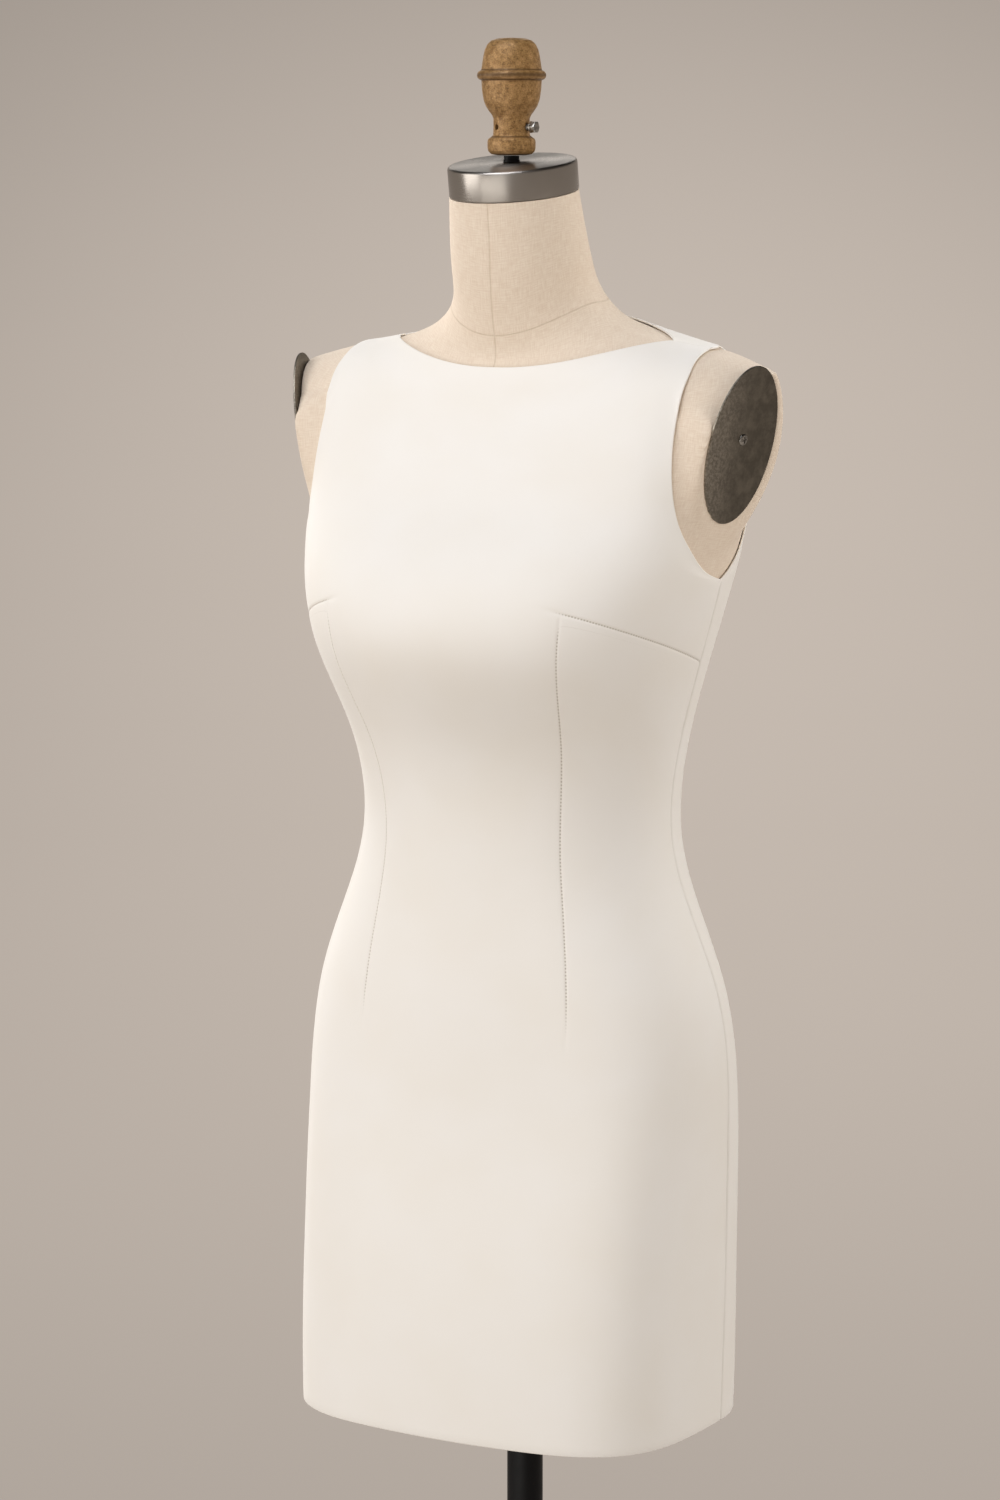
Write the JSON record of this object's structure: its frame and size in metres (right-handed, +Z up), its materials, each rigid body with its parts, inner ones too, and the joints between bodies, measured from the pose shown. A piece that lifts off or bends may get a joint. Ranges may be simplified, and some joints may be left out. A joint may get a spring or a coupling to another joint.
{
  "type": "bodycon dress on a limbless dress form",
  "caption": "Sleeveless above-knee bodycon dress with a high round neck, bust and waist darts and a back zip, worn on a limbless linen dress form on a pole.",
  "frame": {"origin": "centre of the round base's underside", "axes": "+Z up the pole, -Y the way the wearer faces, +X the wearer's left"},
  "size_m": [0.4, 0.4, 1.6107],
  "materials": {
    "crepe": "white matte crepe",
    "linen": "natural plain-weave linen",
    "cap_steel": "spun brushed steel",
    "wood": "stained and varnished beech",
    "zinc": "zinc-plated steel",
    "dark_plate": "dark lacquered metal",
    "black_steel": "black satin enamel",
    "zip_metal": "white enamel"
  },
  "bodies": {
    "form_and_dress": {"form_torso": "linen", "form_neck_cap": "cap_steel", "finial_rod": "black_steel", "form_finial": "wood", "finial_bolt": "zinc", "arm_plate_left": "dark_plate", "arm_plate_right": "dark_plate", "arm_plate_screw_left": "zinc", "arm_plate_screw_right": "zinc", "form_flange": "black_steel", "stand_pole": "black_steel", "stand_base": "black_steel", "dress_front": "crepe", "dress_back_left": "crepe", "dress_back_right": "crepe", "zip_slider": "zip_metal"},
    "pull": {"zip_pull": "zip_metal"}
  },
  "joints": [
    {"name": "zip_pull_hinge", "type": "hinge", "parent": "form_and_dress", "child": "pull", "pos_m": [0, 0.08731, 1.41274], "axis": [1, 0, 0], "range_deg": [0, 150]}
  ]
}
